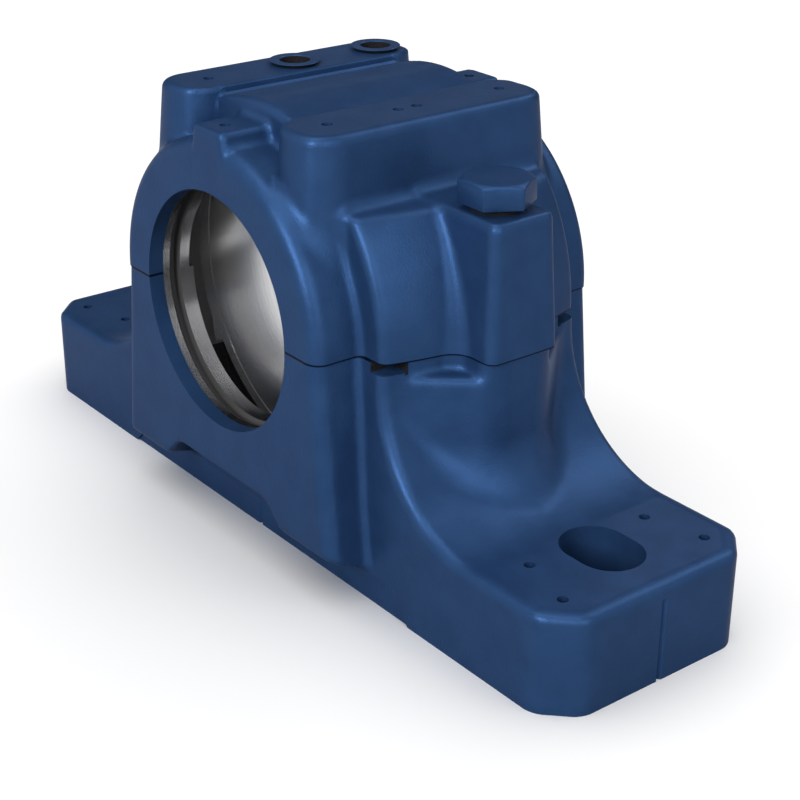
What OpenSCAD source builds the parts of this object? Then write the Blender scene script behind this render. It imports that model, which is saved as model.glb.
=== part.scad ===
// Split plummer block housing for a 55 mm shaft: a cast base and a cast cap, held
// together by two cap bolts and located by two dowel pins.
// X runs along the base, Y along the shaft, Z up. The origin is the middle of the underside.

/* [Base and feet] */
// Length of the base over both feet
base_length = 255; // [225:1:290]
// Width of the base across the shaft line
base_width = 70; // [66:0.5:76]
// Thickness of the feet
foot_height = 28; // [22:0.5:32]
// Size of the 45 degree corners of the feet
foot_corner = 9; // [4:0.5:12]
// Rounding of the top edges of the feet
foot_edge_r = 3; // [1:0.5:5]
// Distance from the end of each foot to the middle of its foundation bolt slot
slot_setback = 22.5; // [17:0.5:26]
// Length of each slot, end to end
slot_length = 24; // [20:0.5:30]
// Width of each slot
slot_width = 18.5; // [12:0.5:19]
// Radius of the concave sweep from the flank down to the foot
sweep_r = 37.5; // [28:0.5:44]
// Depth of the shallow recess in the middle of the front and rear faces
face_recess = 0.7; // [0.3:0.1:2]
// Half length of that recess at the underside
recess_half = 70; // [64:1:80]
// Size of the cored cells in the underside
cell = 22; // [14:0.5:23]
// Thickness of the ribs between the cells
cell_rib = 6; // [4:0.5:8]
// Depth of the cells
cell_depth = 16; // [4:0.5:17]
// Distance from the middle to the first row of cells
cell_start = 32; // [28:0.5:34]
// Width of the centre marks on the end and front faces
mark_width = 1.8; // [1:0.1:3]
// Depth of the small dimples on the feet and on the cap
dimple_depth = 2; // [1:0.5:4]
// Radius of the dimples
dimple_r = 1.5; // [1:0.1:2]

/* [Shaft line] */
// Height of the shaft's centre over the underside
shaft_height = 70; // [68:0.5:80]
// Diameter of the shaft passage in each end wall
seal_bore_d = 67.5; // [56:0.5:74]
// Diameter of the bearing seat
seat_d = 100; // [96:0.5:102]
// Width of the bearing seat
seat_width = 44; // [36:0.5:48]
// How far the shoulders beside the seat stand in from it
seat_shoulder = 2.5; // [1.5:0.1:4]
// Thickness of the cap's end walls round the passage
end_wall = 13.2; // [11:0.2:15]
// Thickness of the base's end walls round the passage
base_end_wall = 14.6; // [12:0.2:16]
// Rounding of the chamber where it meets the end walls
chamber_r = 7; // [4:0.5:9]
// Distance from the outer face to the ring groove in the passage
groove_from_face = 8; // [5:0.5:8.5]
// Width of the ring groove
groove_width = 2.5; // [1.5:0.1:3]
// Depth of the ring groove
groove_depth = 2.8; // [1.5:0.1:4]
// Depth of the grease pockets below the seat's shoulders
pocket_depth = 5; // [3:0.5:6]
// Angle below the split at which the grease pockets begin
pocket_angle = 28; // [20:1:40]

/* [End bosses] */
// Length of the housing over the end bosses
overall_width = 95; // [92:0.5:104]
// Outer radius of the end bosses on the cap
boss_r = 49; // [47:0.25:50.5]
// Rounding of the outer edge of the end bosses
boss_edge_r = 6; // [3:0.5:7]
// Rounding where the end bosses meet the end faces of the body
boss_root_r = 2.2; // [1.5:0.1:4]
// Height of the underside of the end boss at its outer face
boss_bottom = 15.4; // [12:0.2:20]
// Height of the same underside where it meets the body
boss_bottom_root = 10; // [6:0.2:12]
// Slope of the sides of the end boss in the base, in degrees
boss_flare = 6; // [2:0.5:8]
// Half width of the notch under the end boss, at its top
notch_half = 22.5; // [16:0.5:26]
// Height of the notch over the underside of the boss
notch_rise = 6.6; // [4:0.2:10]

/* [Body] */
// Distance between the end faces of the barrel
barrel_length = 66; // [62:0.5:68]
// Largest radius of the crowned barrel
crown_r = 61.6; // [60:0.2:64]
// Radius of the crown along the shaft
crown_arc_r = 75; // [60:1:120]
// Rounding of the barrel's edges at its end faces
barrel_edge_r = 2; // [0.5:0.25:4]
// Radius of the top band between the pads
band_r = 56.2; // [54:0.2:57.5]
// Width of that band along the shaft
band_width = 64; // [60:0.5:66]
// Rounding of the band's edges at its ends
band_edge_r = 2; // [1:0.5:4]
// How far the cap stands out over the base at the split
cap_overhang = 0.6; // [0.2:0.1:1.2]
// Reach of the cap bolt bosses from the middle
bolt_boss_reach = 73.7; // [71:0.5:78]
// Width of the cap bolt bosses
bolt_boss_width = 23.5; // [20:0.5:28]
// Rounding of the corners of the bolt bosses at the split
bolt_boss_corner = 4; // [3.5:0.5:6]
// Height of the top of the bolt bosses over the split
bolt_boss_rise = 36.7; // [26:0.1:38]
// How far those tops stand over the shelf beside them
bolt_boss_step = 0.9; // [0.3:0.1:2]
// Draft of the bolt bosses, over their height
bolt_boss_draft = 1.6; // [0:0.1:1.8]
// Rounding of the valley between barrel and bolt boss
valley_r = 6; // [3:0.5:8]
// Half length of the base's body at its end faces
flank_half = 57; // [55.5:0.25:59]
// Draft of the body of the base, over its height
body_draft = 1.6; // [0:0.2:2]
// Half width of the flat end face of the column under each bolt boss
column_half = 7.5; // [5:0.5:9]
// Concave blend from that column down to the foot
column_blend_r = 20; // [10:0.5:24]
// Depth of the scoops in the base beside the bolt bosses
scoop_depth = 4.2; // [3:0.2:7]
// Height of the slots for prising the cap off
pry_height = 3.5; // [2:0.5:5]
// Width of these slots along the shaft
pry_width = 7.5; // [5:0.5:9]
// Wall between these slots and the bearing seat
pry_wall = 2; // [1.6:0.1:3]

/* [Pads on top of the cap] */
// Height of the pads over the shaft's centre
pad_rise = 55.6; // [52:0.2:60]
// Distance from the middle to the inner wall of each pad
pad_inner = 18.5; // [16:0.5:20]
// Distance from the middle to the outer wall of each pad
pad_outer = 38.7; // [36:0.1:42]
// Distance from the faces of the end bosses to the ends of the pads
pad_setback = 8; // [4:0.5:10]
// Rounding of the pads' upright corners
pad_corner_r = 8; // [5:0.5:8.5]
// Rounding of the pads' top edges
pad_edge_r = 2; // [1:0.25:2.5]
// Distance of the plugs and the small dimples on the pads from the middle
pad_holes = 27.7; // [27:0.1:29.5]
// Height of the two end lugs over the shaft's centre
lug_rise = 51.2; // [50:0.2:52]
// Width of the end lugs at the top
lug_width = 12.6; // [10:0.2:18]
// How much wider each side of a lug is at its root
lug_flare = 3.6; // [0:0.2:5]
// Rounding of the outer edges of the lugs
lug_edge_r = 2; // [0.5:0.5:4]

/* [Cap bolts and dowels] */
// Distance of each cap bolt from the middle
bolt_reach = 60.6; // [59.5:0.1:63]
// Thread diameter of the cap bolts
bolt_d = 12; // [8:0.5:12]
// Width over flats of the hexagon heads
bolt_flats = 18; // [16:0.5:21]
// Height of the heads
bolt_head_h = 6.65; // [5:0.05:9]
// Height of the washer face under each head
washer_face_h = 1.7; // [0.5:0.1:2]
// How deep the cap bolts are screwed into the base
bolt_grip = 22; // [14:0.5:30]
// Clearance round the bolts in the cap, on the radius
bolt_clearance = 0.6; // [0.3:0.1:1]
// Diameter of the dowel pins
dowel_d = 5; // [3:0.5:5]
// Length of the dowel pins
dowel_length = 18; // [12:1:30]

/* [Grease plugs] */
// Diameter of the plugs' shanks
plug_d = 12; // [11:0.5:12.5]
// Diameter of the plugs' flanges
plug_flange_d = 14.6; // [13.5:0.1:17]
// Height of the flanges
plug_flange_h = 1.1; // [0.8:0.1:3]
// Thickness of the flanges at their rims
plug_rim = 0.3; // [0.1:0.1:0.6]
// Diameter of the hollow in the plugs
plug_hollow_d = 8.8; // [5:0.1:9]
// Length of the plugs' shanks
plug_length = 8; // [5:0.5:9]
// Place of the middle plug along the shaft
plug_middle_y = 0; // [-4:0.5:4]
// Distance of the rear plug, and of the dimples, from the ends of the pads
plug_setback = 10.8; // [9.5:0.1:16]
// Bore of the grease ducts under the plugs
duct_d = 5; // [3:0.5:7]

/* [Hidden] */
$fn = 96;
slack = 1;
half_base = base_width / 2;
slot_spacing = base_length - 2 * slot_setback;
half_overall = overall_width / 2;
half_barrel = barrel_length / 2;
passage_r = seal_bore_d / 2;
seat_r = seat_d / 2;
shoulder_r = seat_r - seat_shoulder;
groove_outer = half_overall - groove_from_face;
base_boss_r = boss_r - cap_overhang;
pad_length = overall_width - 2 * pad_setback;
plug_rear_y = pad_length / 2 - plug_setback;
boss_z = shaft_height + bolt_boss_rise;
shelf_rise = bolt_boss_rise - bolt_boss_step;
shelf_z = shaft_height + shelf_rise;
shelf_fillet_r = 3;
pad_z = shaft_height + pad_rise;
pad_foot_z = shaft_height + pad_outer / 2;
lug_z = shaft_height + lug_rise;
boss_half = bolt_boss_width / 2;
boss_top_half = boss_half - bolt_boss_draft;
valley_sink = 0.05 + crown_arc_r - sqrt(pow(crown_arc_r, 2) - pow(boss_top_half + valley_r, 2));
thread_gap = 0.05;
blind = 2;
bolt_tip_z = shaft_height - bolt_grip;
head_z = boss_z + washer_face_h;

// Places of the small dimples on one corner of the base, and on the pads
foot_dimples = [[base_length / 2 - 10.5, half_base - 10.3], [base_length / 2 - 27.5, half_base - 14.8]];
pad_dimples = [[pad_holes, plug_rear_y], [pad_holes, -plug_rear_y], [pad_holes, -5.9],
               [pad_holes, 0.2], [-pad_holes, -plug_rear_y]];

// Where a straight line from point p touches the circle of radius r round c, on its left
function touch(c, r, p) =
    let (d = p - c, reach = norm(d), turn = atan2(d.y, d.x) - acos(r / reach))
    c + r * [cos(turn), sin(turn)];

// Concave corner fillet that fills the first quadrant at the origin
module fillet_2d(r) {
    difference() {
        square(r);
        translate([r, r]) circle(r);
    }
}

// Rectangle from the axis out to r and h with its outer corner rounded
module rounded_corner_2d(r, h, edge) {
    square([r - edge, h]);
    square([r, h - edge]);
    translate([r - edge, h - edge]) circle(edge);
}

// Rectangle about the origin with four rounded corners
module rounded_box_2d(x, y, r) {
    square([x - 2 * r, y], center = true);
    square([x, y - 2 * r], center = true);
    for (i = [-1, 1], j = [-1, 1])
        translate([i * (x / 2 - r), j * (y / 2 - r)]) circle(r);
}

// Outline over the length and the height, carried along the shaft
module along_shaft(length) {
    rotate([90, 0, 0]) linear_extrude(length, center = true) children();
}

// Outline over the width and the height, carried along the base
module along_base(length) {
    rotate([90, 0, 90]) linear_extrude(length, center = true) children();
}

// Profile over the radius and the distance from the middle, turned about the shaft line
module about_shaft() {
    for (end = [0, 1])
        mirror([0, end, 0])
            translate([0, 0, shaft_height]) rotate([-90, 0, 0]) rotate_extrude() children();
}

module both_sides() {
    children();
    mirror([1, 0, 0]) children();
}

module both_ends() {
    children();
    mirror([0, 1, 0]) children();
}

module four_corners() {
    both_sides() both_ends() children();
}

// Crown of the barrel as a slice through the shaft line, with its edge rounded
module crown_profile(r) {
    arc_centre = r - crown_arc_r;
    edge_y = half_barrel - barrel_edge_r;
    edge_x = arc_centre + sqrt(pow(crown_arc_r - barrel_edge_r, 2) - pow(edge_y, 2));
    intersection() {
        translate([arc_centre, 0]) circle(crown_arc_r, $fn = 180);
        square([r, edge_y * crown_arc_r / (crown_arc_r - barrel_edge_r)]);
    }
    square([edge_x, half_barrel]);
    translate([edge_x, edge_y]) circle(barrel_edge_r);
}

// End ring of the cap with its rounded rim and the fillet at its root
module ring_profile(r) {
    rounded_corner_2d(r, half_overall, boss_edge_r);
    translate([r, half_barrel]) fillet_2d(boss_root_r);
}

// Everything that is bored out round the shaft line, up to end walls of some thickness
module bore_profile(wall) {
    square([passage_r, half_overall + slack]);
    square([seat_r, seat_width / 2]);
    rounded_corner_2d(shoulder_r, half_overall - wall, chamber_r);
    translate([0, groove_outer - groove_width]) square([passage_r + groove_depth, groove_width]);
}

module bored_space(wall) {
    about_shaft() bore_profile(wall);
}

module above_split(height) {
    translate([-base_length / 2, -base_width, shaft_height]) cube([base_length, 2 * base_width, height]);
}

// The cap's outline where it meets the base
module split_outline(inset) {
    for (side = [0, 1], end = [0, 1])
        mirror([side, 0]) mirror([0, end]) {
            crown_profile(crown_r - inset);
            translate([crown_r - inset - valley_sink, boss_top_half - inset]) fillet_2d(valley_r);
            intersection() {
                rounded_box_2d(2 * (bolt_boss_reach - inset), 2 * (boss_half - inset), bolt_boss_corner);
                square([bolt_boss_reach, boss_half]);
            }
        }
}

module bolt_hole(r, low, high) {
    translate([bolt_reach, 0, low]) cylinder(r = r, h = high - low);
}

// The dowels stand midway between the seat and the flank, clear of the bolts
dowel_place = [seat_r + (crown_r - seat_r - 3.6) / 2, bolt_d / 2 + bolt_clearance + dowel_d + 9];

// A dowel, or its hole: one on each side of the shaft, at opposite ends
module dowel(side) {
    translate([side * dowel_place.x, -side * dowel_place.y, shaft_height - dowel_length / 2])
        cylinder(d = dowel_d, h = dowel_length);
}

// One foot plate over the whole length, with sloping corners and rounded top edges
module foot_plate() {
    intersection() {
        linear_extrude(foot_height)
            difference() {
                square([base_length, base_width], center = true);
                for (i = [-1, 1], j = [-1, 1])
                    translate([i * base_length / 2, j * half_base])
                        rotate(45) square(foot_corner * sqrt(2), center = true);
            }
        along_shaft(base_width)
            for (side = [0, 1])
                mirror([side, 0]) rounded_corner_2d(base_length / 2, foot_height, foot_edge_r);
        along_base(base_length)
            for (side = [0, 1])
                mirror([side, 0]) rounded_corner_2d(half_base, foot_height, foot_edge_r);
    }
}

// Column under each bolt boss: flat end face, rounded corners and slanting sides
column_corner = [bolt_boss_reach - cap_overhang - bolt_boss_corner, column_half];
flank_point = [flank_half, half_barrel - 5];
column_touch = touch(column_corner, bolt_boss_corner, flank_point);

module column_plan() {
    for (side = [0, 1])
        mirror([0, side]) {
            polygon([[0, 0], [column_corner.x + bolt_boss_corner, 0],
                     [column_corner.x + bolt_boss_corner, column_corner.y],
                     column_touch, flank_point, [0, flank_point.y]]);
            translate(column_corner) circle(bolt_boss_corner);
        }
}

// Profile of a wall of some thickness with a concave toe of radius r at its foot
module toe_2d(wall, r) {
    translate([0, -slack]) square([wall + r, slack]);
    square([wall, r]);
    translate([wall, 0]) fillet_2d(r);
}

// Concave blend at the foot of that column, along its end face, corners and slanting sides
module column_blend() {
    to_touch = column_touch - column_corner;
    lean = atan2(to_touch.y, to_touch.x);
    run = norm(flank_point - column_touch);
    translate([column_corner.x, 0, foot_height])
        along_shaft(2 * column_half) toe_2d(bolt_boss_corner, column_blend_r);
    both_ends()
        translate([column_corner.x, column_corner.y, foot_height]) {
            rotate_extrude(angle = lean) toe_2d(bolt_boss_corner, column_blend_r);
            rotate([0, 0, lean]) translate([0, run, 0]) rotate([90, 0, 0])
                linear_extrude(run) toe_2d(bolt_boss_corner, column_blend_r);
        }
}

// Body of the base: the core with its sweeps, and the two columns
module base_body() {
    intersection() {
        along_base(base_length)
            polygon([[-half_base, 0], [half_base, 0], [half_base, foot_height - foot_edge_r],
                     [half_base - body_draft, shaft_height], [-half_base + body_draft, shaft_height],
                     [-half_base, foot_height - foot_edge_r]]);
        union() {
            along_shaft(base_width)
                for (side = [0, 1])
                    mirror([side, 0]) {
                        square([flank_half, shaft_height]);
                        translate([flank_half, foot_height - slack]) square([sweep_r, slack]);
                        translate([flank_half, foot_height]) fillet_2d(sweep_r);
                    }
            both_sides() {
                linear_extrude(shaft_height) column_plan();
                column_blend();
            }
        }
    }
}

// Shallow recess in the front and rear faces, between the feet
module face_recesses() {
    top = boss_bottom_root;
    both_ends()
        translate([0, half_base - face_recess / 2, 0])
            along_shaft(face_recess)
                polygon([[-recess_half, -slack], [recess_half, -slack], [recess_half, 0],
                         [recess_half - top, top], [top - recess_half, top], [-recess_half, 0]]);
}

// Sides of the lower end bosses: they spread downwards, with rounded upright edges
module lower_boss_sides() {
    inward = base_boss_r + shaft_height * tan(boss_flare);
    both_sides()
        translate([base_boss_r, 0, shaft_height]) rotate([0, -boss_flare, 0])
            translate([0, 0, -shaft_height]) linear_extrude(shaft_height + slack)
                for (end = [0, 1])
                    mirror([0, end]) {
                        translate([-inward, 0]) rounded_corner_2d(inward, half_overall, boss_edge_r);
                        translate([0, half_barrel]) fillet_2d(boss_root_r);
                    }
}

// Lower half of the end bosses, with the sloping underside and the notch in its middle
module lower_bosses() {
    notch_foot = notch_half + notch_rise;
    notch_top = boss_bottom + notch_rise;
    difference() {
        intersection() {
            lower_boss_sides();
            along_base(base_length)
                polygon([[-half_overall, boss_bottom], [-half_base, boss_bottom_root],
                         [half_base, boss_bottom_root], [half_overall, boss_bottom],
                         [half_overall, shaft_height], [-half_overall, shaft_height]]);
        }
        both_ends()
            translate([0, half_base + half_overall / 2, 0]) along_shaft(half_overall)
                polygon([[-notch_foot, 0], [notch_foot, 0], [notch_foot, boss_bottom],
                         [notch_half, notch_top], [-notch_half, notch_top],
                         [-notch_foot, boss_bottom]]);
    }
}

// Cored cells in the underside, two by two on each side, with ribs between them
module underside_cells() {
    pitch = cell + cell_rib;
    four_corners()
        for (row = [0, 1])
            translate([cell_start + cell / 2 + row * pitch, pitch / 2, -slack])
                linear_extrude(cell_depth + slack) rounded_box_2d(cell, cell, cell / 6);
}

// Slots through which the foundation bolts pass
module foundation_slots() {
    for (side = [-1, 1])
        translate([side * slot_spacing / 2, 0, -slack]) {
            between = slot_length - slot_width;
            for (end = [-1, 1])
                translate([end * between / 2, 0, 0]) cylinder(d = slot_width, h = foot_height + 2 * slack);
            translate([-between / 2, -slot_width / 2, 0]) cube([between, slot_width, foot_height + 2 * slack]);
        }
}

// Scoops beside the bolt bosses, just under the split
module scoops() {
    low = shaft_height - scoop_depth;
    translate([0, 0, low]) linear_extrude(scoop_depth + slack)
        difference() {
            for (i = [0, 1], j = [0, 1])
                mirror([i, 0]) mirror([0, j])
                    translate([seat_r + 4, boss_half])
                        square([bolt_boss_reach - seat_r, half_barrel - pry_width - boss_half + 1]);
            split_outline(cap_overhang);
        }
}

// Slots at the four corners for prising the cap off
module pry_slots() {
    four_corners()
        translate([seat_r + pry_wall, half_barrel - pry_width + 0.5, shaft_height - pry_height])
            cube([flank_half, pry_width + half_base, pry_height + slack]);
}

// Grease pockets in the base, between the seat and the end walls
module grease_pockets() {
    top = shaft_height - shoulder_r * sin(pocket_angle);
    pocket_width = half_overall - base_end_wall - seat_width / 2 - 1.5;
    intersection() {
        about_shaft()
            translate([0, seat_width / 2])
                rounded_corner_2d(shoulder_r + pocket_depth, pocket_width, 3);
        translate([-seat_r - pocket_depth, -half_overall, 0])
            cube([2 * (seat_r + pocket_depth), overall_width, top]);
    }
}

// Grooves that mark the middle of the base for lining it up
module centre_marks() {
    mark = mark_width / sqrt(2);
    both_sides()
        translate([base_length / 2, 0, (foot_height - foot_edge_r) / 2 - slack])
            rotate([0, 0, 45]) cube([mark, mark, foot_height - foot_edge_r], center = true);
    both_ends()
        translate([0, half_base - face_recess, boss_bottom_root / 2 - slack])
            rotate([0, 0, 45]) cube([mark, mark, boss_bottom_root], center = true);
}

module dimple(z) {
    translate([0, 0, z - dimple_depth]) cylinder(r = dimple_r, h = dimple_depth + slack);
}

module housing_base() {
    color([0.14, 0.24, 0.42])
        difference() {
            union() {
                difference() {
                    union() {
                        foot_plate();
                        base_body();
                    }
                    face_recesses();
                }
                lower_bosses();
            }
            above_split(shaft_height);
            scoops();
            pry_slots();
            bored_space(base_end_wall);
            grease_pockets();
            foundation_slots();
            underside_cells();
            centre_marks();
            both_sides()
                bolt_hole(bolt_d / 2 + thread_gap, bolt_tip_z - blind, shaft_height + slack);
            for (side = [-1, 1]) dowel(side);
            four_corners()
                for (place = foot_dimples) translate(place) dimple(foot_height);
        }
}

// Pads on both sides of the top band, rounded on all their upright and top edges
module pads() {
    width = pad_outer - pad_inner;
    both_sides()
        intersection() {
            translate([pad_inner + width / 2, 0, pad_foot_z]) linear_extrude(pad_z - pad_foot_z)
                rounded_box_2d(width, pad_length, pad_corner_r);
            translate([pad_inner + width / 2, 0, 0]) along_shaft(pad_length)
                for (side = [0, 1])
                    mirror([side, 0]) rounded_corner_2d(width / 2, pad_z, pad_edge_r);
            along_base(base_length)
                for (side = [0, 1])
                    mirror([side, 0]) rounded_corner_2d(pad_length / 2, pad_z, pad_edge_r);
        }
}

// Fillet between the outer walls of the pads and the shelf beside them
module shelf_fillets() {
    both_sides()
        translate([pad_outer, 0, shelf_z])
            along_shaft(2 * (half_barrel - 5)) fillet_2d(shelf_fillet_r);
}

// Lugs in the middle of the top, over each end boss
module end_lugs() {
    half = lug_width / 2;
    root = lug_z - 12;
    intersection() {
        along_shaft(overall_width)
            polygon([[-half, lug_z], [half, lug_z], [half + lug_flare, root], [-half - lug_flare, root]]);
        along_base(base_length)
            for (side = [0, 1])
                mirror([side, 0]) rounded_corner_2d(half_overall, lug_z, lug_edge_r);
    }
}

// Bosses that the cap bolts clamp, with rounded corners and walls that lean inwards
module bolt_bosses() {
    axis = [bolt_boss_reach - bolt_boss_corner, boss_half - bolt_boss_corner];
    top_corner = bolt_boss_corner - bolt_boss_draft;
    rise = bolt_boss_rise;
    translate([0, 0, shaft_height]) {
        along_shaft(2 * axis.y) leaning_2d(bolt_boss_reach, rise, bolt_boss_draft);
        along_base(2 * axis.x) leaning_2d(boss_half, rise, bolt_boss_draft);
        four_corners()
            translate(axis) rotate_extrude(angle = 90)
                polygon([[0, 0], [bolt_boss_corner, 0], [top_corner, rise], [0, rise]]);
    }
}

// Section whose two sides lean inwards over its height
module leaning_2d(half, rise, lean) {
    polygon([[-half, 0], [half, 0], [half - lean, rise], [lean - half, rise]]);
}

// Barrel of the cap up to the shelf, with the valleys towards the bolt bosses
module cap_barrel() {
    intersection() {
        about_shaft() {
            crown_profile(crown_r);
            translate([crown_r - valley_sink, boss_top_half]) fillet_2d(valley_r);
        }
        above_split(shelf_rise);
    }
}

module top_band() {
    intersection() {
        about_shaft() rounded_corner_2d(band_r, band_width / 2, band_edge_r);
        translate([-pad_outer + 2, -half_barrel, shaft_height])
            cube([2 * pad_outer - 4, barrel_length, pad_rise + 5]);
    }
}

module plug_place(y) {
    translate([-pad_holes, y, pad_z]) children();
}

// Tapped seat of one plug and the duct that leads inside
module plug_hole() {
    translate([0, 0, -plug_length - 1]) cylinder(r = plug_d / 2 + thread_gap, h = plug_length + 2);
    translate([0, 0, -pad_rise / 2]) cylinder(d = duct_d, h = pad_rise / 2);
}

module housing_cap() {
    color([0.15, 0.26, 0.45])
        difference() {
            union() {
                cap_barrel();
                top_band();
                bolt_bosses();
                pads();
                shelf_fillets();
                end_lugs();
                intersection() {
                    about_shaft() ring_profile(boss_r);
                    above_split(shaft_height);
                }
            }
            bored_space(end_wall);
            both_sides() bolt_hole(bolt_d / 2 + bolt_clearance, shaft_height - slack, boss_z + slack);
            for (side = [-1, 1]) dowel(side);
            plug_place(plug_middle_y) plug_hole();
            plug_place(plug_rear_y) plug_hole();
            for (place = pad_dimples) translate(place) dimple(pad_z);
            both_ends() translate([0, half_overall - boss_edge_r]) dimple(lug_z);
        }
}

// Hexagon head bolt with a washer face under the head and a bevelled top
module cap_bolt() {
    bevel = bolt_flats / 2 * 0.945;
    color([0.15, 0.26, 0.45])
        translate([bolt_reach, 0, 0]) {
            translate([0, 0, bolt_tip_z]) cylinder(d = bolt_d, h = head_z - bolt_tip_z);
            translate([0, 0, boss_z]) cylinder(d = bolt_flats * 0.92, h = washer_face_h);
            translate([0, 0, head_z])
                intersection() {
                    cylinder(d = bolt_flats / cos(30), h = bolt_head_h, $fn = 6);
                    cylinder(r1 = bevel + 2 * bolt_head_h, r2 = bevel, h = bolt_head_h);
                }
        }
}

module cap_bolt_right() {
    cap_bolt();
}

module cap_bolt_left() {
    mirror([1, 0, 0]) cap_bolt();
}

module dowel_pin_front() {
    color([0.62, 0.63, 0.65]) dowel(1);
}

module dowel_pin_rear() {
    color([0.62, 0.63, 0.65]) dowel(-1);
}

// Plug with an undercut flange, open at the top, screwed into the pad
module grease_plug() {
    color([0.15, 0.26, 0.45])
        difference() {
            union() {
                translate([0, 0, -plug_length]) cylinder(d = plug_d, h = plug_length);
                cylinder(d1 = plug_d + 0.5, d2 = plug_flange_d, h = plug_flange_h - plug_rim);
                translate([0, 0, plug_flange_h - plug_rim])
                    cylinder(d = plug_flange_d, h = plug_rim);
            }
            translate([0, 0, 2 - plug_length])
                cylinder(d = plug_hollow_d, h = plug_length + plug_flange_h);
        }
}

module grease_plug_middle() {
    plug_place(plug_middle_y) grease_plug();
}

module grease_plug_rear() {
    plug_place(plug_rear_y) grease_plug();
}

housing_base();
housing_cap();
cap_bolt_right();
cap_bolt_left();
dowel_pin_front();
dowel_pin_rear();
grease_plug_middle();
grease_plug_rear();
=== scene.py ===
import math

import bmesh
import bpy
import numpy as np
from mathutils import Matrix, Vector


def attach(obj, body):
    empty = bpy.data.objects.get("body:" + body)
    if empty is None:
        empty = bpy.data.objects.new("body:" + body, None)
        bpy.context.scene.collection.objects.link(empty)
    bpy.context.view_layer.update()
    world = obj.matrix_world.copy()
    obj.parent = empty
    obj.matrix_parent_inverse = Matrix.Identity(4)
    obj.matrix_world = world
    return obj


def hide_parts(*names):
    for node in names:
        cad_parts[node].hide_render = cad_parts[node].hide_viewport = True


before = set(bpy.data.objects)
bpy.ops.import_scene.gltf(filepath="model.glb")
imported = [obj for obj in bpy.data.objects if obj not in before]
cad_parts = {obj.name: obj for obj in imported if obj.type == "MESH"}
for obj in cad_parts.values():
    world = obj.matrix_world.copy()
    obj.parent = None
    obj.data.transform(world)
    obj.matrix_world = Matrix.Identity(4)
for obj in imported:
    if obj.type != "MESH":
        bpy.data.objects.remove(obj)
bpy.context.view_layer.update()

MM = 0.001

# Sizes in millimetres, with x along the feet, y along the shaft and z up from the ground

# Feet, body and underside of the base
LENGTH, WIDTH, FOOT = 255.0, 70.0, 28.0
FOOT_CORNER, FOOT_CORNER_EDGE, FOOT_EDGE = 9.0, 2.0, 3.0
SWEEP_R, FLANK, BODY_DRAFT = 37.5, 57.0, 1.6
SLOT_AT, SLOT_LENGTH, SLOT_WIDTH = 105.0, 24.0, 18.5
RECESS_HALF, RECESS_TOP_HALF, RECESS_TOP, RECESS_DEPTH = 70.0, 60.5, 9.0, 0.7
MARK_DEPTH, MARK_HALF, MARK_STOP = 0.9, 1.9, 4.0
CELL, CELL_RIB, CELL_DEPTH, CELL_START = 22.0, 6.0, 16.0, 32.0

# Bored inside, about the shaft line
SHAFT = 70.0
PASSAGE_R, SEAT_R, SHOULDER_R, GROOVE_R = 33.75, 50.0, 47.5, 37.0
SEAT_HALF, SEAT_LAND, SEAT_STEP, SEAT_STEP_SLOPE = 22.0, 17.5, 0.25, 0.3
CAP_CHAMBER, BASE_CHAMBER, CHAMBER_R = 34.3, 32.9, 7.0
GROOVE_IN, GROOVE_OUT, GROOVE_BEVEL, GROOVE_BEVEL_LENGTH = 37.4, 40.3, 0.6, 0.4
LIP_AT, LIP_STEP, LIP_SLOPE, INNER_STEP = 42.9, 0.15, 0.05, 0.1
POCKET_DEPTH, POCKET_START, POCKET_FROM, POCKET_WALL = 5.0, 28.0, 19.6, 1.5
POCKET_SWELL, POCKET_POWER, POCKET_LAP = 2.2, 0.8, 4.0

# Barrel, end bosses and top band
OVERALL_HALF, BARREL_HALF = 47.5, 33.0
CROWN_R, CROWN_ARC, BARREL_EDGE = 61.6, 104.0, 2.0
BOSS_R, BOSS_EDGE, BOSS_ROOT, BOSS_FLARE = 47.6, 4.1, 2.2, math.radians(6)
BOSS_ROOT_REACH, BOSS_ROOT_OVER, BOSS_ROOT_LEAST = 9.0, 5.0, 0.1
BOSS_BOTTOM, BOSS_BOTTOM_ROOT, BOSS_BOTTOM_EDGE = 15.4, 10.0, 1.2
NOTCH_HALF, NOTCH_RISE, NOTCH_SLANT, NOTCH_INSET = 22.5, 6.6, 0.707, 0.5
BAND_R, BAND_HALF, BAND_EDGE, BAND_ROOT, BAND_INSET = 56.2, 32.0, 2.0, 2.0, 6.0
OVERHANG = 0.6

# Bolt bosses, with the valleys, scoops and prising slots beside them and the columns below
BOLT_BOSS_REACH, BOLT_BOSS_HALF, BOLT_BOSS_CORNER, BOLT_BOSS_DRAFT = 73.7, 11.75, 2.8, 0.045
SHELF, BOSS_TOP, SHELF_EDGE, BOSS_STEP = SHAFT + 35.8, SHAFT + 36.7, 1.5, 2.0
VALLEY_R, VALLEY_R_LOW, VALLEY_OVER = 2.5, 5.5, 30.0
SCOOP_DEPTH, SCOOP_RIM, SCOOP_LAP = 4.5, 2.2, 1.0
PRY_HEIGHT, PRY_WIDTH, PRY_WALL, PRY_LAP = 3.0, 7.5, 2.0, 0.5
PRY_REACH, PRY_OUT = 8.0, 4.0
COLUMN_HALF, COLUMN_INSET, COLUMN_TOE, COLUMN_EDGE = 7.5, 1.0, 5.0, 3.0
COLUMN_BLEND, COLUMN_ROOT, COLUMN_ROOT_FROM, COLUMN_ROOT_OVER = 20.0, 2.5, 1.0, 10.0

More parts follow.
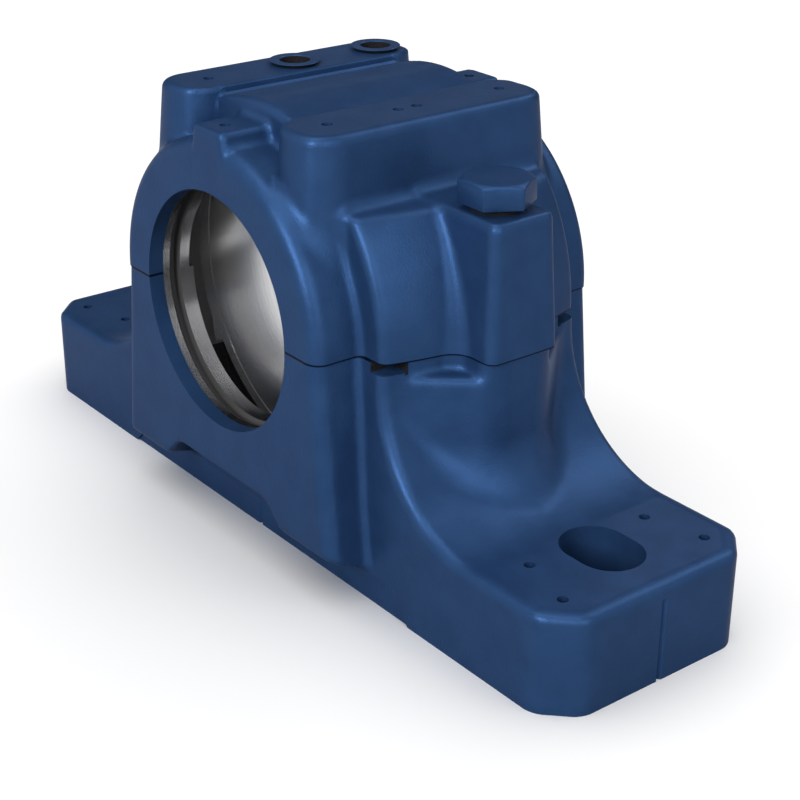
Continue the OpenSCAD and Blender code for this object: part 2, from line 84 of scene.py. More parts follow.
# Pads and lugs on the cap
PAD_TOP, PAD_FLOOR = SHAFT + 55.6, SHAFT + 22.0
PAD_IN, PAD_OUT, PAD_HALF, PAD_CORNER, PAD_EDGE = 18.5, 38.7, 39.4, 5.0, 2.0
PAD_SHIFT, PAD_END_R, PAD_DRAFT, PAD_END_DRAFT = 1.3, 16.0, 0.055, 0.09
PAD_SOFT_FROM, PAD_SOFT_OVER, PAD_ROOT, PAD_ROOT_GAIN = 2.0, 6.0, 0.5, 3.0
LUG_TOP, LUG_HALF, LUG_FLARE, LUG_EDGE = SHAFT + 51.2, 6.7, 0.25, 1.7
LUG_SCALE, LUG_LAP, LUG_ROOT, LUG_ROOT_OVER = 0.95, 1.0, 1.5, 3.0

# Small drilled spots, as places on the feet, the pads and the lugs
SPOT_R, SPOT_DEPTH = 1.5, 2.0
FOOT_SPOTS = ((117.0, 24.7), (100.0, 20.2))
PAD_SPOTS = ((27.7, 28.7), (27.7, -28.7), (27.6, -5.9), (27.6, 0.2), (-28.0, -28.7))
LUG_SPOTS = ((0.0, -41.5), (0.0, 41.5))

# Bolts, plugs and pins, with their holes
BOLT_AT, BOLT_D, BOLT_FLATS, BOLT_HEAD, WASHER_FACE = 60.6, 12.0, 18.0, 6.65, 1.7
BOLT_TOP_R, BOLT_TOP_SLOPE, BOLT_EDGE = 8.5, 2.0, 0.35
BOLT_GRIP, BOLT_CLEAR, BOLT_TIP, NECK_R, NECK_LAP = 22.0, 0.6, 1.0, 6.9, 0.3
BOLT_HOLE_DEEPER, HOLE_CLEAR = 2.0, 0.05
PLUG_AT, PLUG_YS = -27.7, (0.0, 28.7)
PLUG_D, PLUG_FLANGE_D, PLUG_FLANGE_H, PLUG_RIM, PLUG_HOLLOW_D, PLUG_LENGTH = 12.0, 14.6, 1.1, 0.16, 8.8, 8.0
PLUG_ROOT, PLUG_EDGE, PLUG_MOUTH, PLUG_BOTTOM = 0.25, 0.08, 0.2, 2.0
GREASE_HOLE_R, GREASE_HOLE_DEPTH = 2.5, 28.0
DOWEL_D, DOWEL_LENGTH, DOWEL_X, DOWEL_Y, DOWEL_TIP = 5.0, 18.0, 54.0, 20.6, 0.5

# Edge radii that come back
CRISP, SMALL, EASY = 0.5, 1.0, 1.5

# A hair's breadth between the two points of a step, how far a tool runs past what it cuts, how far
# the castings run past the faces that are cut flat, and slabs that reach past everything
HAIR, PAST, SPARE = 0.01, 1.0, 2.0
FAR, DEEP = 200.0, -50.0

# Grids on which the castings' surfaces are found
CAP_GRID, BASE_GRID = 0.95, 1.1
CAP_REACH, BASE_REACH, GRID_HALF, GRID_SPARE, GRID_ABOVE = 76.0, 130.0, 50.0, 4.0, 3.0
SETTLE_ROUNDS, LEAST_SLOPE = 4, 0.05

# Steps round the bore, small turned pieces, pins, drilled holes, spots, slot ends and cell corners
BORE_STEPS, TURNED_STEPS, PIN_STEPS = 180, 72, 32
HOLE_STEPS, SPOT_STEPS, END_STEPS, CORNER_STEPS = 48, 24, 32, 6
CHAMBER_POINTS, POCKET_POINTS = 9, 60

# Angles in degrees beyond which an edge looks sharp
CASTING_SHARP, SHARP = 38, 30


# Distance fields of the castings

def join(a, b, r):
    """Union with a concave fillet of radius r."""
    return np.maximum(r, np.minimum(a, b)) - np.hypot(np.maximum(r - a, 0), np.maximum(r - b, 0))


def meet(a, b, r):
    """Intersection with a rounded edge of radius r."""
    return np.minimum(-r, np.maximum(a, b)) + np.hypot(np.maximum(r + a, 0), np.maximum(r + b, 0))


def cut(a, b, r):
    """a without b, with a rounded rim of radius r."""
    return meet(a, -b, r)


def grow(distance, over):
    """0 up to distance 0, then rising to 1 over a length."""
    return np.clip(distance / over, 0, 1)


def round_box(x, y, half_x, half_y, r):
    """Distance to a rectangle about the origin with corners of radius r."""
    dx, dy = np.abs(x) - half_x + r, np.abs(y) - half_y + r
    return np.hypot(np.maximum(dx, 0), np.maximum(dy, 0)) + np.minimum(np.maximum(dx, dy), 0) - r


def crown(radius, t, inset):
    """Barrel whose radius grows towards the middle on a long arc."""
    return np.hypot(radius - CROWN_R + CROWN_ARC, t) - CROWN_ARC + inset


def bolt_boss(x, t, h, inset=0.0):
    """Outline of a bolt boss, which narrows upwards."""
    draft = inset + BOLT_BOSS_DRAFT * h
    return round_box(x, t, BOLT_BOSS_REACH - draft, BOLT_BOSS_HALF - draft, BOLT_BOSS_CORNER)


def cap_flank(x, t, h, inset=0.0):
    """Barrel and bolt bosses, blended in valleys that get tighter upwards."""
    barrel = meet(crown(np.hypot(x, h), t, inset), t - BARREL_HALF + inset, BARREL_EDGE)
    valley = VALLEY_R + (VALLEY_R_LOW - VALLEY_R) * (1 - grow(h, VALLEY_OVER))
    return join(barrel, bolt_boss(x, t, h, inset), valley)


def shelved_flank(x, t, z):
    """Barrel and bolt bosses, cut off at the shelf and at the slightly higher boss tops."""
    h = z - SHAFT
    top = SHELF + (BOSS_TOP - SHELF) * grow(BOSS_STEP / 2 - bolt_boss(x, t, h), BOSS_STEP)
    return meet(cap_flank(x, t, h), z - top, SHELF_EDGE)


def end_ring(x, t, z):
    """Upper half of an end boss, with the lug on its top."""
    ring = meet(np.hypot(x, z - SHAFT) - BOSS_R, t - OVERALL_HALF, BOSS_EDGE)
    side = (x - LUG_HALF - (LUG_TOP - z) * LUG_FLARE) * LUG_SCALE
    lug = meet(meet(side, t - OVERALL_HALF, LUG_EDGE), z - LUG_TOP, SMALL)
    lug = meet(lug, BAND_HALF - LUG_LAP - t, CRISP)
    return join(ring, lug, LUG_ROOT * grow(OVERALL_HALF - t, LUG_ROOT_OVER))


def top_band(x, t, z):
    """Band over the barrel that ends inside the pads."""
    ring = meet(np.hypot(x, z - SHAFT) - BAND_R, t - BAND_HALF, BAND_EDGE)
    return meet(ring, x - PAD_OUT + BAND_INSET, SMALL)


def pad(x, y, z, outward):
    """Raised pad, with an upper edge that is crisp beside the band and rounder outward."""
    middle, drop = (PAD_IN + PAD_OUT) / 2, PAD_TOP - z
    end = np.abs(y + PAD_SHIFT) - PAD_HALF + PAD_END_R
    end = np.hypot(x - middle, np.maximum(end, 0)) - PAD_END_R - drop * PAD_END_DRAFT
    side = np.abs(x - middle) - (PAD_OUT - PAD_IN) / 2 - drop * PAD_DRAFT
    raised = meet(meet(side, end, PAD_CORNER), -drop, CRISP + (PAD_EDGE - CRISP) * outward)
    return meet(raised, PAD_FLOOR - z, SMALL)


def cap_field(x, y, z):
    """The cap as it is cast, down to a little below the split."""
    x, t = np.abs(x), np.abs(y)
    outward = grow(x - PAD_IN - PAD_SOFT_FROM, PAD_SOFT_OVER)
    body = join(shelved_flank(x, t, z), end_ring(x, t, z), BOSS_ROOT)
    body = join(body, top_band(x, t, z), BAND_ROOT)
    body = join(body, pad(x, y, z, outward), PAD_ROOT + PAD_ROOT_GAIN * outward)
    return np.maximum(body, SHAFT - SPARE - z)


def foot_plan(x, t, z):
    """Outline of the base from above, with bevelled corners and drafted long sides."""
    draft = BODY_DRAFT * grow(z - FOOT, SHAFT - FOOT)
    corner = (x + t - (LENGTH / 2 + WIDTH / 2 - FOOT_CORNER)) / math.sqrt(2)
    sides = meet(x - LENGTH / 2, t - WIDTH / 2 + draft, CRISP)
    return meet(sides, corner, FOOT_CORNER_EDGE)


def column_field(x, t):
    """Column under a bolt boss: flat end face and slanting sides."""
    reach = BOLT_BOSS_REACH - OVERHANG
    centre = np.array([reach - BOLT_BOSS_CORNER, COLUMN_HALF])
    toe = np.array([FLANK, BARREL_HALF - COLUMN_TOE])
    d = toe - centre
    turn = math.atan2(d[1], d[0]) - math.acos(BOLT_BOSS_CORNER / np.hypot(*d))
    slant = (x - centre[0]) * math.cos(turn) + (t - centre[1]) * math.sin(turn) - BOLT_BOSS_CORNER
    return meet(x - reach, slant, BOLT_BOSS_CORNER)


def boss_notch(x, t, z):
    """Notch with slanting sides in the underside of an end boss."""
    side = (x + z - NOTCH_HALF - BOSS_BOTTOM - NOTCH_RISE) * NOTCH_SLANT
    notch = meet(z - BOSS_BOTTOM - NOTCH_RISE, side, EASY)
    return meet(notch, WIDTH / 2 - NOTCH_INSET - t, CRISP)


def lower_boss(x, t, z):
    """Lower half of an end boss, with its sloping underside and notch."""
    side = (x - BOSS_R + OVERHANG - (SHAFT - z) * math.tan(BOSS_FLARE)) * math.cos(BOSS_FLARE)
    boss = meet(side, t - OVERALL_HALF, BOSS_EDGE)
    slope = (BOSS_BOTTOM - BOSS_BOTTOM_ROOT) / (OVERALL_HALF - WIDTH / 2)
    under = (BOSS_BOTTOM_ROOT + (t - WIDTH / 2) * slope - z) / math.hypot(1, slope)
    return cut(meet(boss, under, BOSS_BOTTOM_EDGE), boss_notch(x, t, z), SMALL)


def scoop(x, t, z):
    """Hollow in the column's flank under the split, which follows the cap's outline."""
    hollow = meet(-cap_flank(x, t, 0, OVERHANG), SHAFT - SCOOP_DEPTH - z, EASY)
    hollow = meet(hollow, t - (BARREL_HALF - PRY_WIDTH + SCOOP_LAP), EASY)
    return meet(hollow, BOLT_BOSS_HALF - OVERHANG - t, SMALL)


def base_field(x, y, z):
    """The base as it is cast, from a little below the ground to a little above the split."""
    x, t = np.abs(x), np.abs(y)
    swept = join(x - FLANK, z - FOOT, SWEEP_R)
    column = meet(column_field(x, t), t - BARREL_HALF + COLUMN_INSET, COLUMN_EDGE)
    column = join(column, z - FOOT, COLUMN_BLEND)
    root = COLUMN_ROOT * grow(z - FOOT - COLUMN_ROOT_FROM, COLUMN_ROOT_OVER)
    body = meet(join(swept, column, root), foot_plan(x, t, z), FOOT_EDGE)
    body = cut(body, scoop(x, t, z), SCOOP_RIM)
    share = np.maximum(grow(WIDTH / 2 + BOSS_ROOT_REACH - t, BOSS_ROOT_OVER), BOSS_ROOT_LEAST)
    body = join(body, lower_boss(x, t, z), BOSS_ROOT * share)
    return np.maximum(body, np.maximum(z - SHAFT - SPARE, -SPARE - z))


# From a field to a mesh

def gradient(field, p, step=0.05):
    """Slope of the field at the points p."""
    out = np.empty_like(p)
    for axis in range(3):
        d = np.zeros(3)
        d[axis] = step
        out[:, axis] = (field(*(p + d).T) - field(*(p - d).T)) / (2 * step)
    return out


def at_corner(value, corner):
    """The value at the same corner of every grid cell."""
    return value[tuple(slice(c, c + n - 1) for c, n in zip(corner, value.shape))]


def crossings(value):
    """Grid cells that the surface passes through, and its mean place in each, counted in cells."""
    cells = tuple(n - 1 for n in value.shape)
    total, count = np.zeros(cells + (3,)), np.zeros(cells)
    for corner in np.ndindex(2, 2, 2):
        for axis in range(3):
            if corner[axis]:
                continue
            next_corner = tuple(c + (n == axis) for n, c in enumerate(corner))
            a, b = at_corner(value, corner), at_corner(value, next_corner)
            crossed = (a < 0) != (b < 0)
            share = np.where(crossed, a / np.where(crossed, a - b, 1), 0)
            point = np.stack([np.full(cells, float(c)) for c in corner], -1)
            point[..., axis] += share
            total += point * crossed[..., None]
            count += crossed
    used = count > 0
    return used, total[used] / count[used][:, None] + np.argwhere(used)


def quads(inside, index):
    """A quad round every grid edge that leads from inside to outside or back."""
    faces = []
    for axis in range(3):
        u, v = (axis + 1) % 3, (axis + 2) % 3
        first = [slice(1, -1)] * 3
        first[axis] = slice(0, -1)
        second = list(first)
        second[axis] = slice(1, None)
        a, b = inside[tuple(first)], inside[tuple(second)]
        for flip, where in ((False, a & ~b), (True, ~a & b)):
            at = np.argwhere(where)
            ring = []
            for du, dv in ((0, 0), (1, 0), (1, 1), (0, 1)):
                beside = at.copy()
                beside[:, u] += du
                beside[:, v] += dv
                ring.append(index[tuple(beside.T)])
            ring = np.stack(ring, 1)
            faces.append(ring[:, ::-1] if flip else ring)
    return np.concatenate(faces)


def settled(field, points, grid):
    """The points, moved onto the surface in short steps along the slope."""
    for _ in range(SETTLE_ROUNDS):
        slope = gradient(field, points)
        size = np.maximum((slope ** 2).sum(1), LEAST_SLOPE)
        move = slope * (field(*points.T) / size)[:, None]
        reach = np.linalg.norm(move, axis=1)
        points = points - move * np.minimum(1, grid / 2 / np.maximum(reach, 1e-9))[:, None]
    return points


def skin(field, low, high, grid):
    """Points and quads of the surface where the field is zero."""
    axes = [np.arange(a - grid / 2, b + grid, grid) for a, b in zip(low, high)]
    value = field(*np.meshgrid(*axes, indexing="ij"))
    used, place = crossings(value)
    index = np.full(used.shape, -1)
    index[used] = np.arange(used.sum())
    points = np.array([a[0] for a in axes]) + place * grid
    return settled(field, points, grid), quads(value < 0, index)


def mesh_object(name, points, faces):
    """Object in the scene from points in millimetres."""
    mesh = bpy.data.meshes.new(name)
    mesh.from_pydata((np.asarray(points) * MM).tolist(), [], [list(map(int, f)) for f in faces])
    mesh.validate()
    mesh.update()
    obj = bpy.data.objects.new(name, mesh)
    bpy.context.collection.objects.link(obj)
    return obj


# Solids for cutting and for the small pieces

def around(steps):
    """Cosine and sine of each step of a full turn."""
    angles = [2 * math.pi * i / steps for i in range(steps)]
    return [(math.cos(a), math.sin(a)) for a in angles]


def arc(x, y, r, start, sweep, steps):
    """Points of an arc about (x, y), with its angles in degrees."""
    angles = [math.radians(start + sweep * i / steps) for i in range(steps + 1)]
    return [(x + r * math.cos(a), y + r * math.sin(a)) for a in angles]


def prism(outline, low, high, axis="z"):
    """Outline carried from low to high along z, or along y."""
    points = [(a, b, end) if axis == "z" else (a, end, b) for end in (low, high) for a, b in outline]
    n = len(outline)
    faces = [tuple(range(n))[::-1], tuple(range(n, 2 * n))]
    faces += [(i, (i + 1) % n, n + (i + 1) % n, n + i) for i in range(n)]
    return points, faces


def turned(profile, centre, steps, axis="z"):
    """Solid of revolution about z, or about y, from (place along the axis, radius) pairs."""
    points = []
    for along, r in profile:
        for c, s in around(steps):
            point = (r * c, r * s, along) if axis == "z" else (r * c, along, r * s)
            points.append(np.add(centre, point))
    faces = [tuple(range(steps)), tuple(range((len(profile) - 1) * steps, len(profile) * steps))[::-1]]
    for k in range(len(profile) - 1):
        for i in range(steps):
            j = (i + 1) % steps
            faces.append((k * steps + i, (k + 1) * steps + i, (k + 1) * steps + j, k * steps + j))
    return points, faces


def tool(name, solid):
    """Object from a solid, with its faces turned outwards."""
    obj = mesh_object(name, *solid)
    bm = bmesh.new()
    bm.from_mesh(obj.data)
    bmesh.ops.recalc_face_normals(bm, faces=bm.faces)
    bm.to_mesh(obj.data)
    bm.free()
    return obj


def carve(obj, solids, operation="DIFFERENCE"):
    """Cuts the solids out of obj, or joins or intersects it with them, and leaves a plain mesh."""
    for solid in solids:
        cutter = tool("cutter", solid)
        step = obj.modifiers.new("carve", "BOOLEAN")
        step.operation, step.solver, step.object = operation, "MANIFOLD", cutter
        done = bpy.data.meshes.new_from_object(obj.evaluated_get(bpy.context.evaluated_depsgraph_get()))
        obj.modifiers.clear()
        obj.data = done
        bpy.data.objects.remove(cutter)


def soften(obj, width, sharper_than=25):
    """Bevels the edges of obj that turn by more than an angle in degrees."""
    bm = bmesh.new()
    bm.from_mesh(obj.data)
    limit = math.radians(sharper_than)
    edges = [e for e in bm.edges if len(e.link_faces) == 2 and e.calc_face_angle() > limit]
    bmesh.ops.bevel(bm, geom=edges, offset=width * MM, segments=2, profile=0.5, affect="EDGES")
    bm.to_mesh(obj.data)
    bm.free()


def mirrored(points):
    """Each point in all four quarters."""
    return [(sx * x, sy * y) for x, y in points for sx in (1, -1) for sy in (1, -1)]


def box(low, high):
    """Block between two corners."""
    (x0, y0, z0), (x1, y1, z1) = low, high
    return prism([(x0, y0), (x1, y0), (x1, y1), (x0, y1)], z0, z1)


def slab(low, high):
    """Everything between two heights."""
    return box((-FAR, -FAR, low), (FAR, FAR, high))


def drill(x, y, r, low, high, steps=HOLE_STEPS):
    """Round hole from low to high."""
    return prism([(x + r * c, y + r * s) for c, s in around(steps)], low, high)


def spots(places, top):
    """Small drilled spots in a level face."""
    return [drill(x, y, SPOT_R, top - SPOT_DEPTH, top + PAST, SPOT_STEPS) for x, y in places]


# What is bored, milled, drilled and cored

def bore(chamber):
    """Everything bored out about the shaft line, with chambers that reach to a given place."""
    outer, inner = PASSAGE_R + LIP_STEP, PASSAGE_R - INNER_STEP
    half = [(OVERALL_HALF + SPARE, PASSAGE_R), (LIP_AT, PASSAGE_R), (LIP_AT - LIP_SLOPE, outer),
            (GROOVE_OUT + GROOVE_BEVEL_LENGTH, outer), (GROOVE_OUT, PASSAGE_R + GROOVE_BEVEL),
            (GROOVE_OUT - HAIR, GROOVE_R), (GROOVE_IN, GROOVE_R), (GROOVE_IN - HAIR, inner), (chamber, inner)]
    half += [(chamber - CHAMBER_R * (1 - math.cos(a)), SHOULDER_R - CHAMBER_R * (1 - math.sin(a)))
             for a in np.linspace(0, math.pi / 2, CHAMBER_POINTS)]
    half += [(SEAT_HALF + HAIR, SHOULDER_R), (SEAT_HALF, SEAT_R), (SEAT_LAND, SEAT_R),
             (SEAT_LAND - SEAT_STEP_SLOPE, SEAT_R - SEAT_STEP)]
    profile = [(-along, r) for along, r in half] + half[::-1]
    return turned(profile, (0, 0, SHAFT), BORE_STEPS, "y")


def grease_pocket(side):
    """Pocket below the split on one side, between the seat's shoulder and the end wall."""
    span = np.radians(np.linspace(POCKET_START, 180 - POCKET_START, POCKET_POINTS))
    rise = np.sin((span - span[0]) / (span[-1] - span[0]) * math.pi)
    deep = SHOULDER_R + POCKET_DEPTH * np.clip(rise * POCKET_SWELL, 0, 1) ** POCKET_POWER
    near = SHOULDER_R - POCKET_LAP
    outer = [(-r * math.cos(a), SHAFT - r * math.sin(a)) for r, a in zip(deep, span)]
    inner = [(-near * math.cos(a), SHAFT - near * math.sin(a)) for a in reversed(span)]
    low, high = sorted((side * POCKET_FROM, side * (BASE_CHAMBER - POCKET_WALL)))
    return prism(outer + inner, low, high, "y")


def face_recess(side):
    """Shallow recess along the foot of one long side."""
    outline = [(-RECESS_HALF, -PAST), (RECESS_HALF, -PAST), (RECESS_HALF, 0),
               (RECESS_TOP_HALF, RECESS_TOP), (-RECESS_TOP_HALF, RECESS_TOP), (-RECESS_HALF, 0)]
    return prism(outline, side * (WIDTH / 2 - RECESS_DEPTH), side * (WIDTH / 2 + PAST), "y")


def foot_slot(side):
    """Foundation bolt slot with round ends."""
    middle, r, half = side * SLOT_AT, SLOT_WIDTH / 2, (SLOT_LENGTH - SLOT_WIDTH) / 2
    outline = arc(middle + half, 0, r, -90, 180, END_STEPS) + arc(middle - half, 0, r, 90, 180, END_STEPS)
    return prism(outline, -PAST, FOOT + PAST)


def tapped_hole(side):
    """Hole for a cap bolt's thread, a little deeper than the bolt."""
    bottom = SHAFT - BOLT_GRIP - BOLT_HOLE_DEEPER
    return drill(side * BOLT_AT, 0, BOLT_D / 2 + HOLE_CLEAR, bottom, SHAFT + PAST)


def end_mark(side):
    """Witness groove up the end of a foot."""
    tip, mouth = side * (LENGTH / 2 - MARK_DEPTH), side * (LENGTH / 2 + PAST)
    return prism([(tip, 0), (mouth, -MARK_HALF), (mouth, MARK_HALF)], -PAST, FOOT - MARK_STOP)


def face_mark(side):
    """Witness groove in the middle of a face recess."""
    edge = side * (WIDTH / 2 - RECESS_DEPTH)
    tip, mouth = edge - side * MARK_DEPTH, edge + side * PAST
    return prism([(0, tip), (-MARK_HALF, mouth), (MARK_HALF, mouth)], -PAST, RECESS_TOP)


def cored_cell(x, y):
    """Cell in the underside, square with rounded corners."""
    r = CELL / 6
    outline = []
    for quarter, (sx, sy) in enumerate(((1, 1), (-1, 1), (-1, -1), (1, -1))):
        outline += arc(x + sx * (CELL / 2 - r), y + sy * (CELL / 2 - r), r, 90 * quarter, 90, CORNER_STEPS)
    return prism(outline, -PAST, CELL_DEPTH)


def prising_slot(sx, sy):
    """Slot under the split beside a column, in one of the four quarters."""
    xs = sorted((sx * (SEAT_R + PRY_WALL), sx * (FLANK + PRY_REACH)))
    ys = sorted((sy * (BARREL_HALF - PRY_WIDTH + PRY_LAP), sy * (BARREL_HALF + PRY_OUT)))
    return box((xs[0], ys[0], SHAFT - PRY_HEIGHT), (xs[1], ys[1], SHAFT + PAST))


def base_cuts():
    """All that is taken out of the base, in order."""
    cuts = [slab(SHAFT, FAR), slab(DEEP, 0), bore(BASE_CHAMBER)]
    cuts += [grease_pocket(side) for side in (-1, 1)]
    cuts += [face_recess(side) for side in (-1, 1)]
    for side in (-1, 1):
        cuts += [foot_slot(side), tapped_hole(side), end_mark(side), face_mark(side)]
    pitch = CELL + CELL_RIB
    places = mirrored([(CELL_START + CELL / 2 + row * pitch, pitch / 2) for row in (0, 1)])
    cuts += [cored_cell(x, y) for x, y in places]
    cuts += spots(mirrored(FOOT_SPOTS), FOOT)
    cuts += [prising_slot(sx, sy) for sx, sy in mirrored([(1, 1)])]
    return cuts


def cap_cuts():
    """All that is taken out of the cap, in order."""
    cuts = [slab(DEEP, SHAFT), bore(CAP_CHAMBER)]
    for side in (-1, 1):
        cuts.append(drill(side * BOLT_AT, 0, BOLT_D / 2 + BOLT_CLEAR, SHAFT - PAST, BOSS_TOP + SPARE))
    for y in PLUG_YS:
        bottom = PAD_TOP - PLUG_LENGTH - PAST
        cuts.append(drill(PLUG_AT, y, PLUG_D / 2 + HOLE_CLEAR, bottom, PAD_TOP + PAST))
        cuts.append(drill(PLUG_AT, y, GREASE_HOLE_R, PAD_TOP - GREASE_HOLE_DEPTH, PAD_TOP))
    return cuts + spots(PAD_SPOTS, PAD_TOP) + spots(LUG_SPOTS, LUG_TOP)


# Materials

class Value:
    """A shader socket that can be used in sums."""

    def __init__(self, graph, socket):
        self.graph, self.socket = graph, socket

    def math(self, operation, *others):
        return self.graph.node("ShaderNodeMath", {"operation": operation}, [self, *others])

    def swapped(self, operation, other):
        return self.graph.node("ShaderNodeMath", {"operation": operation}, [other, self])

    def __add__(self, other):
        return self.math("ADD", other)

    def __radd__(self, other):
        return self.swapped("ADD", other)

    def __sub__(self, other):
        return self.math("SUBTRACT", other)

    def __rsub__(self, other):
        return self.swapped("SUBTRACT", other)

    def __mul__(self, other):
        return self.math("MULTIPLY", other)

    def __rmul__(self, other):
        return self.swapped("MULTIPLY", other)

    def ramp(self, low, high):
        """0 below low and 1 above high, with a soft passage between."""
        return self.graph.node("ShaderNodeMapRange", {"interpolation_type": "SMOOTHSTEP"},
                               {"Value": self, "From Min": low, "From Max": high})


class Graph:
    """A node tree that is put together node by node."""

    def __init__(self, tree):
        self.tree = tree

    def put(self, value, socket):
        """Links a Value to the socket, or sets anything else on it."""
        if isinstance(value, Value):
            self.tree.links.new(value.socket, socket)
        else:
            socket.default_value = value

    def node(self, kind, settings, inputs, out=0):
        """One node, with its settings made first and its sockets linked or set after them."""
        made = self.tree.nodes.new(kind)
        for key, value in settings.items():
            setattr(made, key, value)
        pairs = inputs.items() if isinstance(inputs, dict) else enumerate(inputs)
        for key, value in pairs:
            self.put(value, made.inputs[key])
        return Value(self, made.outputs[out])

    def seen_directly(self):
        """1 for rays from the camera, off gloss and through glass, else 0."""
        kinds = ("Is Camera Ray", "Is Glossy Ray", "Is Transmission Ray")
        camera, glossy, clear = [self.node("ShaderNodeLightPath", {}, {}, kind) for kind in kinds]
        return camera.math("MAXIMUM", glossy).math("MAXIMUM", clear)


class Look(Graph):
    """A material round one main shader."""

    def __init__(self, name):
        self.material = bpy.data.materials.new(name)
        self.material.use_nodes = True
        super().__init__(self.material.node_tree)
        self.shader = self.tree.nodes["Principled BSDF"]
        self.place = self.node("ShaderNodeTexCoord", {}, {}, "Object")

    def noise(self, size, detail, rough, stretch=None):
        """Noise from 0 to 1 whose features are about size millimetres across."""
        place = self.place
        if stretch:
            place = self.node("ShaderNodeVectorMath", {"operation": "MULTIPLY"}, [place, stretch])
        inputs = {"Vector": place, "Scale": 1 / (size * MM), "Detail": detail, "Roughness": rough}
        return self.node("ShaderNodeTexNoise", {}, inputs)

    def mix(self, share, a, b):
        """Colour a where share is 0 and b where it is 1."""
        a, b = [c if isinstance(c, Value) else (*c, 1) for c in (a, b)]
        return self.node("ShaderNodeMix", {"data_type": "RGBA"}, {0: share, 6: a, 7: b}, 2)

    def bump(self, height, distance, below=None):
        """Relief of the given height in millimetres, on top of another where one is given."""
        inputs = {"Height": height, "Distance": distance * MM, "Strength": 1.0}
        if below:
            inputs["Normal"] = below
        return self.node("ShaderNodeBump", {}, inputs)

    def feed(self, **inputs):
        """Links or sets the main shader's sockets, and gives the material."""
        for key, value in inputs.items():
            self.put(value, self.shader.inputs[key.replace("_", " ")])
        return self.material


# Colours as linear red, green and blue
PAINT_DARK, PAINT_LIGHT, PAINT_GRAIN = (0.0185, 0.050, 0.130), (0.0215, 0.057, 0.146), (0.03, 0.075, 0.17)
# Painted shade for the gap under the cap's overhang at the split
PAINT_SPLIT_SHADE = (0.002, 0.006, 0.015)
IRON_DARK, IRON_LIGHT, IRON_OUTER = (0.70, 0.70, 0.705), (0.77, 0.77, 0.775), (0.45, 0.45, 0.453)
# Near-black casting tones, which are painted shade
SHADE_CAST_DARK, SHADE_CAST_LIGHT = (0.008, 0.008, 0.009), (0.016, 0.016, 0.018)
BORED_DARK, BORED_LIGHT = (0.07, 0.07, 0.072), (0.10, 0.10, 0.102)
PIN_DARK, PIN_LIGHT = (0.5, 0.5, 0.51), (0.66, 0.66, 0.68)

# The paint's gloss, half the height of the line of painted shade at the split, and where the bore's
# iron gets darker, counted from the seat's shoulder
PAINT_SPECULAR, PAINT_METAL, PAINT_ROUGH, PAINT_RIM = 0.12, 0.45, 0.33, 0.3
SPLIT_SHADE_HEIGHT, OUTER_FROM, OUTER_TO = 0.45, 2.0, 8.0


def painted():
    """Blue paint over a fine cast skin, with a thin line of painted shade along the split."""
    look = Look("blue_paint_on_casting")
    grain = look.noise(0.55, 2.0, 0.6)
    patches = look.noise(9, 3.0, 0.55)
    relief = look.bump(grain, 0.065, look.bump(patches, 0.12))
    tone = look.mix(patches.ramp(0.3, 0.7), PAINT_DARK, PAINT_LIGHT)
    tone = look.mix(grain.ramp(0.62, 0.8) * 0.25, tone, PAINT_GRAIN)
    height = look.node("ShaderNodeSeparateXYZ", {}, [look.place], 2)
    # Painted shade: a thin dark line where the cap overhangs the base at the split
    split_shade = 1 - (height - SHAFT * MM).math("ABSOLUTE").ramp(SPLIT_SHADE_HEIGHT * MM / 2, SPLIT_SHADE_HEIGHT * MM)
    return look.feed(Base_Color=look.mix(split_shade, tone, PAINT_SPLIT_SHADE), Metallic=PAINT_METAL,
                     Roughness=PAINT_ROUGH + patches * 0.08 + grain * 0.06, Normal=relief,
                     Specular_IOR_Level=PAINT_SPECULAR, Specular_Tint=(PAINT_RIM, PAINT_RIM, PAINT_RIM, 1))


def machined():
    """Bored and faced surfaces with the fine rings that the tool leaves, darker towards the ends."""
    look = Look("machined_iron")
    rings = look.noise(0.3, 2.0, 0.7, (0.002, 1, 0.002))
    cloud = look.noise(0.8, 3.0, 0.6)
    tone = look.mix(rings.ramp(0.3, 0.7), IRON_DARK, IRON_LIGHT)
    along = look.node("ShaderNodeSeparateXYZ", {}, [look.place], 1).math("ABSOLUTE")
    tone = look.mix(along.ramp((SEAT_HALF + OUTER_FROM) * MM, (SEAT_HALF + OUTER_TO) * MM), tone, IRON_OUTER)
    return look.feed(Base_Color=tone, Metallic=1.0, Roughness=0.15 + cloud * 0.02,
                     Normal=look.bump(rings, 0.001))


def bare_casting_in_shade():
    """Unpainted cast skin, near black as painted shade, for the grease pockets, prising slots, bolt necks and
    plug hollows.
    """
    look = Look("bare_casting_in_shade")
    grain = look.noise(0.7, 3.0, 0.6)
    tone = look.mix(grain.ramp(0.3, 0.7), SHADE_CAST_DARK, SHADE_CAST_LIGHT)
    return look.feed(Base_Color=tone, Specular_IOR_Level=0.1, Roughness=0.7 + grain * 0.1,
                     Normal=look.bump(grain, 0.06))


def rough_bored():
    """Chambers and grooves: bored once and left dull."""
    look = Look("rough_bored_iron")
    rings = look.noise(0.5, 2.0, 0.6, (0.01, 1, 0.01))
    tone = look.mix(rings.ramp(0.3, 0.7), BORED_DARK, BORED_LIGHT)
    return look.feed(Base_Color=tone, Metallic=0.3, Specular_IOR_Level=0.2, Roughness=0.5 + rings * 0.1,
                     Normal=look.bump(rings, 0.01))


def ground_pin():
    """Ground steel of the dowel pins, with scratches along them."""
    look = Look("ground_pin")
    scratch = look.noise(0.3, 2.0, 0.6, (1, 1, 0.02))
    return look.feed(Base_Color=look.mix(scratch, PIN_DARK, PIN_LIGHT), Metallic=1.0,
                     Roughness=0.2 + scratch * 0.1, Normal=look.bump(scratch, 0.003))


PAINT, MACHINED, SHADE_CAST, BORED, PIN = painted(), machined(), bare_casting_in_shade(), rough_bored(), ground_pin()


# Where each material goes, as a place in a piece's list of materials

IN_PAINT, IN_MACHINED, IN_SHADE_CAST, IN_BORED = range(4)

